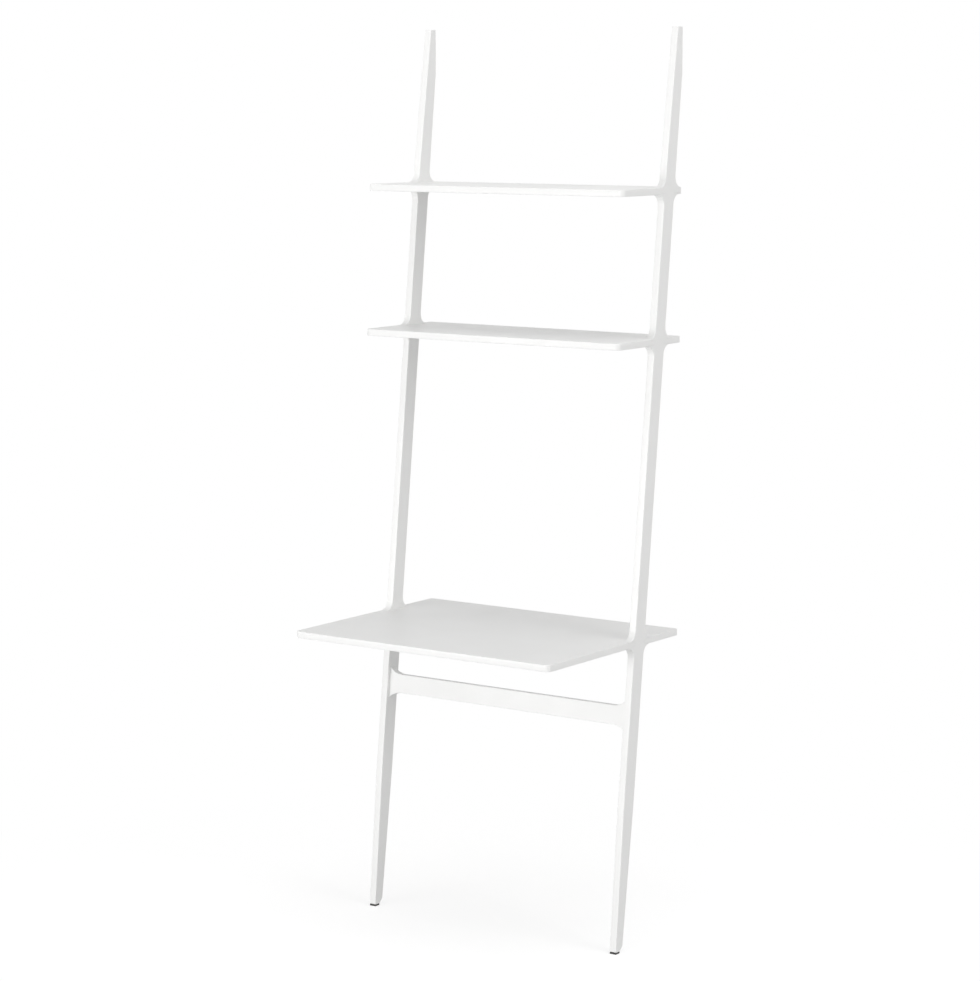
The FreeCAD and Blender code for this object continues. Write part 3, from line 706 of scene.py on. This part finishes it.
def fitting_cutters(build, side):
    """Bores for the bolts, the rail's mortise, and the keyhole plate's recess with room behind."""
    cutters, inner = [], side * build.inner
    start = inner - side * OVERRUN
    for plate in PLATES:
        level = build.bolt_level(plate)
        bore = circle(BOLT_BORE, build.axis(level), level, BORE_POINTS)
        cutters.append(shell(prism_rings(bore, start, inner + side * BOLT_BORE_DEPTH), Y, Z))
    cutters.append(build.mortise(start, inner + side * UPRIGHT_MORTISE))
    wall = (side * build.column, build.wall, 0)
    plate, keyhole, screw = build.keyhole_levels()
    hollows = (
        (rounded(rectangle(*RECESS, v=plate), RECESS_ROUND, STRIP_STEPS), STRIP_THICKNESS),
        (rounded(rectangle(*ROOM, v=keyhole), ROOM_ROUND, ROOM_STEPS), ROOM_DEPTH),
        (circle(SCREW_BORE, v=screw, around=BORE_POINTS), SCREW_BORE_DEPTH))
    for outline, depth in hollows:
        cutters.append(shell(prism_rings(outline, -OVERRUN, depth), X, Z, wall))
    return cutters


class LADDERDESK_OT_uprights(bpy.types.Operator):
    """Makes the two leaning uprights with their flares, housings and bores"""
    bl_idname = "ladder_desk.uprights"
    bl_label = "Uprights"

    def execute(self, context):
        build = Build()
        rings = board_rings(upright_outline(build), build.outer - build.inner, build.shape.arris)
        for name, side in SIDES.items():
            low, high = sorted((side * build.inner, side * build.outer))
            piece = add_object(f"{name}_upright_lacquered", [shell(rings, Y, Z, (low, 0, 0))])
            cut(piece, housing_cutters(build, low, high, side) + fitting_cutters(build, side))
            complete(piece, [f"{name}_upright"], satin_lacquer())
        return {"FINISHED"}


def plate_cutters(build, plate, side):
    """A notch round the upright and its lips, a cam lock's bore and the bolt's channel to it."""
    shape, axis = build.shape, build.axis
    low, high = build.levels[plate]
    gap = shape.joint_gap
    under, over = low + shape.lip + gap, high - shape.lip - gap
    floor, ceiling = low - PAST_PLATE, high + PAST_PLATE
    front, back = (build.lip_end(plate, way) + way * gap for way in (-1, 1))
    reach = build.half + gap
    notch = np.array([
        (front, ceiling), (front, over), (axis(over) - reach, over), (axis(under) - reach, under),
        (front, under), (front, floor), (back, floor), (back, under),
        (axis(under) + reach, under), (axis(over) + reach, over), (back, over), (back, ceiling)])
    level = build.bolt_level(plate)
    inner, cam = side * build.inner, side * build.cam_place
    channel = circle(BOLT_CHANNEL, axis(level), level, TURNED_POINTS)
    bore = circle(build.cam_radius + CAM_BORE_GAP, cam, axis(level))
    return [
        shell(prism_rings(notch, inner, side * (build.outer + PAST_PLATE)), Y, Z),
        shell(prism_rings(channel, cam, inner + side * OVERRUN), Y, Z),
        shell(prism_rings(bore, low - OVERRUN, low + build.cam_length + CAM_BORE_FLOOR))]


class LADDERDESK_OT_plates(bpy.types.Operator):
    """Makes the desk top and the two shelves, notched round the uprights"""
    bl_idname = "ladder_desk.plates"
    bl_label = "Desk top and shelves"

    def execute(self, context):
        build = Build()
        front, back = build.shape.corner, build.shape.back_corner
        for plate, node in PLATES.items():
            low, high = place_of(node)
            middle, half = (low + high) / 2, (high - low) / 2
            outline = rounded(rectangle(half[0], half[1], middle[0], middle[1]),
                              (front, front, back, back), PLATE_CORNER_STEPS)
            rings = board_rings(outline, high[2] - low[2], build.shape.arris)
            piece = add_object(f"{node}_lacquered", [shell(rings, origin=(0, 0, low[2]))])
            cut(piece, [cutter for side in SIDES.values()
                        for cutter in plate_cutters(build, plate, side)])
            complete(piece, [node], satin_lacquer())
        return {"FINISHED"}


def rail_outline(build):
    """Outline along X and up the lean: straight edges whose ends rise in arcs. At an angle t past
    the straight run an edge is at run + R sin t along and width / 2 + R (1 - cos t) up, where R
    comes from the flare's length and rise. The board runs on past both ends, to be sawn off."""
    shape = build.shape
    along, rise = shape.rail_flare, shape.rail_flare_rise
    radius = (along ** 2 + rise ** 2) / (2 * rise)
    turn = np.linspace(0, math.asin(along / radius), RAIL_FLARE_STEPS + 1)
    arc = np.stack((build.inner - along + radius * np.sin(turn),
                    shape.rail_width / 2 + radius * (1 - np.cos(turn))), axis=-1)
    edge = np.concatenate((arc, [arc[-1] + (PAST_END, 0)]))
    return np.concatenate((edge * (1, -1), edge[::-1], edge * (-1, 1), edge[::-1] * (-1, -1)))


class LADDERDESK_OT_rail(bpy.types.Operator):
    """Makes the flared rail between the uprights"""
    bl_idname = "ladder_desk.rail"
    bl_label = "Cross rail"

    def execute(self, context):
        build = Build()
        shape = build.shape
        rings = board_rings(rail_outline(build), shape.rail_thickness, shape.arris)
        back = build.rail_middle + build.rail_back * shape.rail_thickness / 2
        piece = add_object("cross_rail_lacquered", [shell(rings, X, build.rail_up, back)])
        saw = rectangle(shape.rail_thickness, shape.rail_width)
        cutters = []
        for side in SIDES.values():
            end = side * build.inner
            cutters.append(build.across_rail(saw, end, end + side * 2 * PAST_END))
            cutters.append(build.mortise(end + side * OVERRUN, end - side * RAIL_MORTISE))
        cut(piece, cutters)
        complete(piece, ["cross_rail"], satin_lacquer())
        return {"FINISHED"}


class LADDERDESK_OT_foot_pads(bpy.types.Operator):
    """Makes the rubber pads under the feet, with grooves that grip the floor"""
    bl_idname = "ladder_desk.foot_pads"
    bl_label = "Foot pads"

    def execute(self, context):
        rubber, bulge = moulded_rubber(), context.scene.desk_shape.pad_spread
        for name in SIDES:
            low, high = place_of(f"{name}_foot_pad")
            middle, half = (low + high) / 2, (high - low) / 2 + bulge
            outline = rounded(rectangle(half[0], half[1], middle[0], middle[1]),
                              PAD_CORNER, PAD_STEPS)
            rings = board_rings(outline, high[2] - low[2], PAD_ARRIS)
            piece = add_object(f"{name}_foot_pad_moulded", [shell(rings, origin=(0, 0, low[2]))])
            grooves = [rectangle(GROOVE_HALF, half[1] + OVERRUN, middle[0] + place, middle[1])
                       for place in GROOVE_PLACES]
            cut(piece, [shell(prism_rings(groove, low[2] - OVERRUN, low[2] + GROOVE_DEPTH))
                        for groove in grooves])
            complete(piece, [f"{name}_foot_pad"], rubber)
        return {"FINISHED"}


def cam_shells(build):
    """A cam lock about its own axis, driven face down: its drum and what is cut from it. The cavity
    that holds the bolt's head is off centre, its slot and mouth let the bolt in, and the driven
    face has a cross for the screwdriver and an arrow beside it that shows where the mouth is."""
    level, reach = build.shape.cam_depth, CAM_PAST_DRUM
    head, neck = (level - CAM_HEAD, level + CAM_HEAD), (level - CAM_NECK, level + CAM_NECK)
    cross = -OVERRUN, CROSS_DEPTH

    def box(low_x, high_x, low_y, high_y, levels):
        """A block between two places along each axis."""
        outline = np.array([(low_x, low_y), (high_x, low_y), (high_x, high_y), (low_x, high_y)])
        return shell(prism_rings(outline, *levels))

    drum = shell(board_rings(circle(build.cam_radius), build.cam_length, CAM_ARRIS))
    return drum, [
        shell(prism_rings(circle(CAM_CAVITY, -CAM_THROW), *head)),
        box(-reach, reach, -CAM_NECK, reach, neck),
        box(-reach, 0, -CAM_HEAD, CAM_HEAD, head),
        box(-CROSS_LONG, CROSS_LONG, -CROSS_HALF, CROSS_HALF, cross),
        box(-CROSS_HALF, CROSS_HALF, -CROSS_SHORT, CROSS_SHORT, cross),
        shell(prism_rings(ARROW, -OVERRUN, ARROW_DEPTH))]


class LADDERDESK_OT_cam_locks(bpy.types.Operator):
    """Makes the cam locks in the plates' undersides, each on its own turning body"""
    bl_idname = "ladder_desk.cam_locks"
    bl_label = "Cam locks"

    def execute(self, context):
        build = Build()
        casting = zinc_casting()
        drum, cuts = cam_shells(build)
        for plate in PLATES:
            axis = build.axis(build.bolt_level(plate))
            for name, side in SIDES.items():
                node = f"{plate}_{name}_cam"
                place = (side * build.cam_place, axis, build.levels[plate][0])
                placed = [(points * (side, side, 1) + place, faces)
                          for points, faces in [drum] + cuts]
                piece = add_object(f"{node}_cast", placed[:1])
                cut(piece, placed[1:])
                complete(piece, [node], casting, f"{node}_body")
        return {"FINISHED"}


class LADDERDESK_OT_cam_bolts(bpy.types.Operator):
    """Makes the connecting bolts, threaded into the uprights, with their heads in the cam locks"""
    bl_idname = "ladder_desk.cam_bolts"
    bl_label = "Connecting bolts"

    def execute(self, context):
        build = Build()
        head_along, head_radius = BOLT_HEAD.T
        for plate in PLATES:
            node = f"{plate}_cam_bolts"
            start = next(place_of(node))[0]
            head = start + BOLT_HEAD_START
            along = np.concatenate((
                start + np.linspace(0, BOLT_THREAD, BOLT_THREAD_POINTS),
                [head - BOLT_NECK, head], head + head_along))
            radius = np.concatenate((np.full(BOLT_THREAD_POINTS + 2, BOLT_RADIUS), head_radius))
            radius[0] = BOLT_POINT
            rings = turned_rings(
                along, radius, (start, start + BOLT_THREAD, BOLT_PITCH, BOLT_THREAD_DEPTH))
            level = build.bolt_level(plate)
            middle = (0, build.axis(level), level)
            piece = add_object(f"{node}_plated",
                               [shell(rings, Y, Z, middle), shell(rings, Y, -Z, middle)])
            complete(piece, [node], zinc_plate())
        return {"FINISHED"}


class LADDERDESK_OT_rail_tenons(bpy.types.Operator):
    """Makes the fluted loose tenons of the rail"""
    bl_idname = "ladder_desk.rail_tenons"
    bl_label = "Rail tenons"

    def execute(self, context):
        build = Build()
        start = next(place_of("rail_tenons"))[0]
        half, reach = build.shape.tenon_thickness / 2, build.shape.tenon_width / 2
        across = np.linspace(-1, 1, FLUTE_POINTS)
        flute = half - FLUTE_DEPTH * (1 - np.cos(across * FLUTES * np.pi))
        face = np.stack((flute, across * (reach - TENON_EDGE)), axis=-1)
        outline = np.concatenate((
            face, [(half - TENON_EDGE, reach)], -face, [(TENON_EDGE - half, -reach)]))
        rings = board_rings(outline, TENON_LENGTH, TENON_ARRIS)
        ends = [build.rail_middle + (place, 0, 0) for place in (start, -start - TENON_LENGTH)]
        piece = add_object("rail_tenons_planed",
                           [shell(rings, build.rail_back, build.rail_up, end) for end in ends])
        complete(piece, ["rail_tenons"], planed_beech())
        return {"FINISHED"}


class LADDERDESK_OT_keyhole_plates(bpy.types.Operator):
    """Makes the steel keyhole plates let into the tips' wall faces"""
    bl_idname = "ladder_desk.keyhole_plates"
    bl_label = "Keyhole plates"

    def execute(self, context):
        build = Build()
        middle, keyhole, screw = build.keyhole_levels()
        outline = rounded(rectangle(*STRIP, v=middle), STRIP_ROUND, STRIP_STEPS)
        strip = board_rings(outline, STRIP_THICKNESS, STRIP_ARRIS)
        slot = rounded(rectangle(*SLOT, v=keyhole), SLOT_ROUND, SLOT_STEPS)
        entry = circle(ENTRY_RADIUS, v=keyhole - ENTRY_DROP)
        cutters = [prism_rings(hole, -OVERRUN, STRIP_THROUGH) for hole in (slot, entry)]
        cutters.append(turned_rings(*SCREW_SINK.T) + (0, screw, 0))
        shells, cuts = [], []
        for side in SIDES.values():
            wall = (side * build.column, build.wall, 0)
            shells.append(shell(strip, X, Z, wall))
            cuts += [shell(rings, X, Z, wall) for rings in cutters]
        piece = add_object("keyhole_plates_plated", shells)
        cut(piece, cuts)
        complete(piece, ["keyhole_plates"], zinc_plate())
        return {"FINISHED"}


class LADDERDESK_OT_plate_screws(bpy.types.Operator):
    """Makes the keyhole plates' countersunk screws with a cross recess and a thread"""
    bl_idname = "ladder_desk.plate_screws"
    bl_label = "Keyhole plate screws"

    def execute(self, context):
        build = Build()
        _, _, screw = build.keyhole_levels()
        # Head, thread and point in millimetres. The countersink narrows the head to the shank.
        threaded = np.linspace(2.8, 14.5, SCREW_THREAD_POINTS)
        along = np.concatenate(((0, 0.15, 1.9, 2.4), threaded, (16,))) * MM
        shank = np.full(SCREW_THREAD_POINTS, 1.5)
        radius = np.concatenate(((2.85, 3.0, 1.6, 1.5), shank, (0.2,))) * MM
        cone = np.maximum(SCREW_HEAD - along * SCREW_TAPER, SCREW_SHANK)
        rings = turned_rings(
            along, np.minimum(radius, cone),
            (SCREW_THREAD_START, SCREW_END, SCREW_PITCH, SCREW_THREAD_DEPTH))
        arm, width = SCREW_CROSS, SCREW_CROSS_HALF
        cross = np.array([
            (arm, -width), (arm, width), (width, width), (width, arm), (-width, arm),
            (-width, width), (-arm, width), (-arm, -width), (-width, -width), (-width, -arm),
            (width, -arm), (width, -width)]) @ np.array(((1, 1), (-1, 1))) / math.sqrt(2)
        shells, cuts = [], []
        for side in SIDES.values():
            head = (side * build.column, build.wall, screw)
            shells.append(shell(rings, X, Z, head))
            cuts.append(shell(prism_rings(cross, -OVERRUN, SCREW_CROSS_DEPTH), X, Z, head))
        piece = add_object("keyhole_plate_screws_plated", shells)
        cut(piece, cuts)
        complete(piece, ["keyhole_plate_screws"], zinc_plate())
        return {"FINISHED"}


def background_rays(tree):
    """One for the rays that show the background: the camera's own and those sent on by gloss or
    clear pieces."""
    path = add_node(tree, "ShaderNodeLightPath").outputs
    sent = add_node(tree, "ShaderNodeMath", {
        0: path["Is Glossy Ray"], 1: path["Is Transmission Ray"]}, operation="MAXIMUM")
    return add_node(tree, "ShaderNodeMath", {
        0: path["Is Camera Ray"], 1: sent.outputs["Value"]}, operation="MAXIMUM").outputs["Value"]


def studio_floor():
    """Matt pale floor. To the camera and in reflections it is white but for the shade near the
    desk: a glow and a matt coat add up to white there, and further out the glow alone is white."""
    material = bpy.data.materials.new("studio_floor_matt")
    material.use_nodes = True
    tree = material.node_tree
    tree.nodes.remove(tree.nodes["Principled BSDF"])

    def matt(level):
        """A matt grey coat."""
        return add_node(tree, "ShaderNodeBsdfDiffuse", {
            "Color": (level, level, level, 1)}).outputs["BSDF"]

    def light(strength):
        """An even white glow."""
        return add_node(tree, "ShaderNodeEmission", {"Strength": strength}).outputs["Emission"]

    place = add_node(tree, "ShaderNodeTexCoord").outputs["Object"]
    away = add_node(tree, "ShaderNodeVectorMath", {0: place}, operation="LENGTH")
    far = add_node(tree, "ShaderNodeMapRange", {
        "Value": away.outputs["Value"], "From Min": FLOOR_FADE[0], "From Max": FLOOR_FADE[1]},
        interpolation_type="SMOOTHSTEP")
    near = add_node(tree, "ShaderNodeAddShader", {0: matt(FLOOR_COAT), 1: light(FLOOR_GLOW)})
    pale = add_node(tree, "ShaderNodeMixShader", {
        "Fac": far.outputs["Result"], 1: near.outputs["Shader"], 2: light(WHITE)})
    mixed = add_node(tree, "ShaderNodeMixShader", {
        "Fac": background_rays(tree), 1: matt(FLOOR_MATT), 2: pale.outputs["Shader"]})
    tree.links.new(mixed.outputs["Shader"], tree.nodes["Material Output"].inputs["Surface"])
    return material


def area_lamp(name, place, target, size, watts):
    """Adds a rectangular lamp that faces its target."""
    data = bpy.data.lights.new(name, "AREA")
    data.shape = "RECTANGLE"
    data.size, data.size_y = size
    data.energy = watts
    lamp = bpy.data.objects.new(name, data)
    bpy.context.scene.collection.objects.link(lamp)
    lamp.location = place
    lamp.rotation_euler = (Vector(target) - Vector(place)).to_track_quat("-Z", "Y").to_euler()


class LADDERDESK_OT_stage(bpy.types.Operator):
    """Sets the floor, light and camera"""
    bl_idname = "ladder_desk.stage"
    bl_label = "Stage"

    def execute(self, context):
        scene = context.scene
        stage = scene.desk_stage
        scene.view_settings.view_transform = "Standard"
        mesh = bpy.data.meshes.new("floor")
        corners = [(u, v, 0) for u, v in rectangle(FLOOR_REACH, FLOOR_REACH)]
        mesh.from_pydata(corners, [], [(0, 1, 2, 3)])
        floor = bpy.data.objects.new("floor", mesh)
        scene.collection.objects.link(floor)
        mesh.materials.append(studio_floor())

        world = bpy.data.worlds.new("studio")
        scene.world = world
        world.use_nodes = True
        tree = world.node_tree
        strength = add_node(tree, "ShaderNodeMix", {
            "Factor": background_rays(tree), "A": stage.sky, "B": WHITE})
        background = tree.nodes["Background"].inputs
        background["Color"].default_value = (1, 1, 1, 1)
        tree.links.new(strength.outputs["Result"], background["Strength"])
        for name, (place, target, size) in LAMPS.items():
            area_lamp(f"{name}_lamp", place, target, size, getattr(stage, name))

        level = math.cos(stage.tilt)
        back = Vector((math.sin(stage.turn) * level, -math.cos(stage.turn) * level,
                       math.sin(stage.tilt)))
        right = Vector((math.cos(stage.turn), math.sin(stage.turn), 0))
        data = bpy.data.cameras.new("camera")
        data.sensor_width = SENSOR
        data.lens = stage.focal
        camera = bpy.data.objects.new("camera", data)
        scene.collection.objects.link(camera)
        turn = Matrix((right, back.cross(right), back)).transposed().to_4x4()
        place = Vector(stage.target) + back * stage.distance
        camera.matrix_world = Matrix.Translation(place) @ turn
        scene.camera = camera
        return {"FINISHED"}


class LADDERDESK_PT_panel(bpy.types.Panel):
    """Lists the steps that make the desk"""
    bl_label = "Ladder desk"
    bl_idname = "LADDERDESK_PT_panel"
    bl_space_type = "VIEW_3D"
    bl_region_type = "UI"
    bl_category = "Ladder desk"

    def draw(self, context):
        for operator in OPERATORS:
            self.layout.operator(operator.bl_idname)


OPERATORS = (
    LADDERDESK_OT_uprights, LADDERDESK_OT_plates, LADDERDESK_OT_rail, LADDERDESK_OT_foot_pads,
    LADDERDESK_OT_cam_locks, LADDERDESK_OT_cam_bolts, LADDERDESK_OT_rail_tenons,
    LADDERDESK_OT_keyhole_plates, LADDERDESK_OT_plate_screws, LADDERDESK_OT_stage)
CLASSES = (DeskShape, DeskFinish, DeskStage) + OPERATORS + (LADDERDESK_PT_panel,)


def register():
    """Adds the classes and the scene's settings."""
    for item in CLASSES:
        bpy.utils.register_class(item)
    bpy.types.Scene.desk_shape = PointerProperty(type=DeskShape)
    bpy.types.Scene.desk_finish = PointerProperty(type=DeskFinish)
    bpy.types.Scene.desk_stage = PointerProperty(type=DeskStage)


def unregister():
    """Takes away what register adds."""
    del bpy.types.Scene.desk_stage
    del bpy.types.Scene.desk_finish
    del bpy.types.Scene.desk_shape
    for item in reversed(CLASSES):
        bpy.utils.unregister_class(item)


def main():
    """Makes every piece and the stage."""
    register()
    desk = bpy.ops.ladder_desk
    desk.uprights()
    desk.plates()
    desk.rail()
    desk.foot_pads()
    desk.cam_locks()
    desk.cam_bolts()
    desk.rail_tenons()
    desk.keyhole_plates()
    desk.plate_screws()
    desk.stage()


if __name__ == "__main__":
    main()
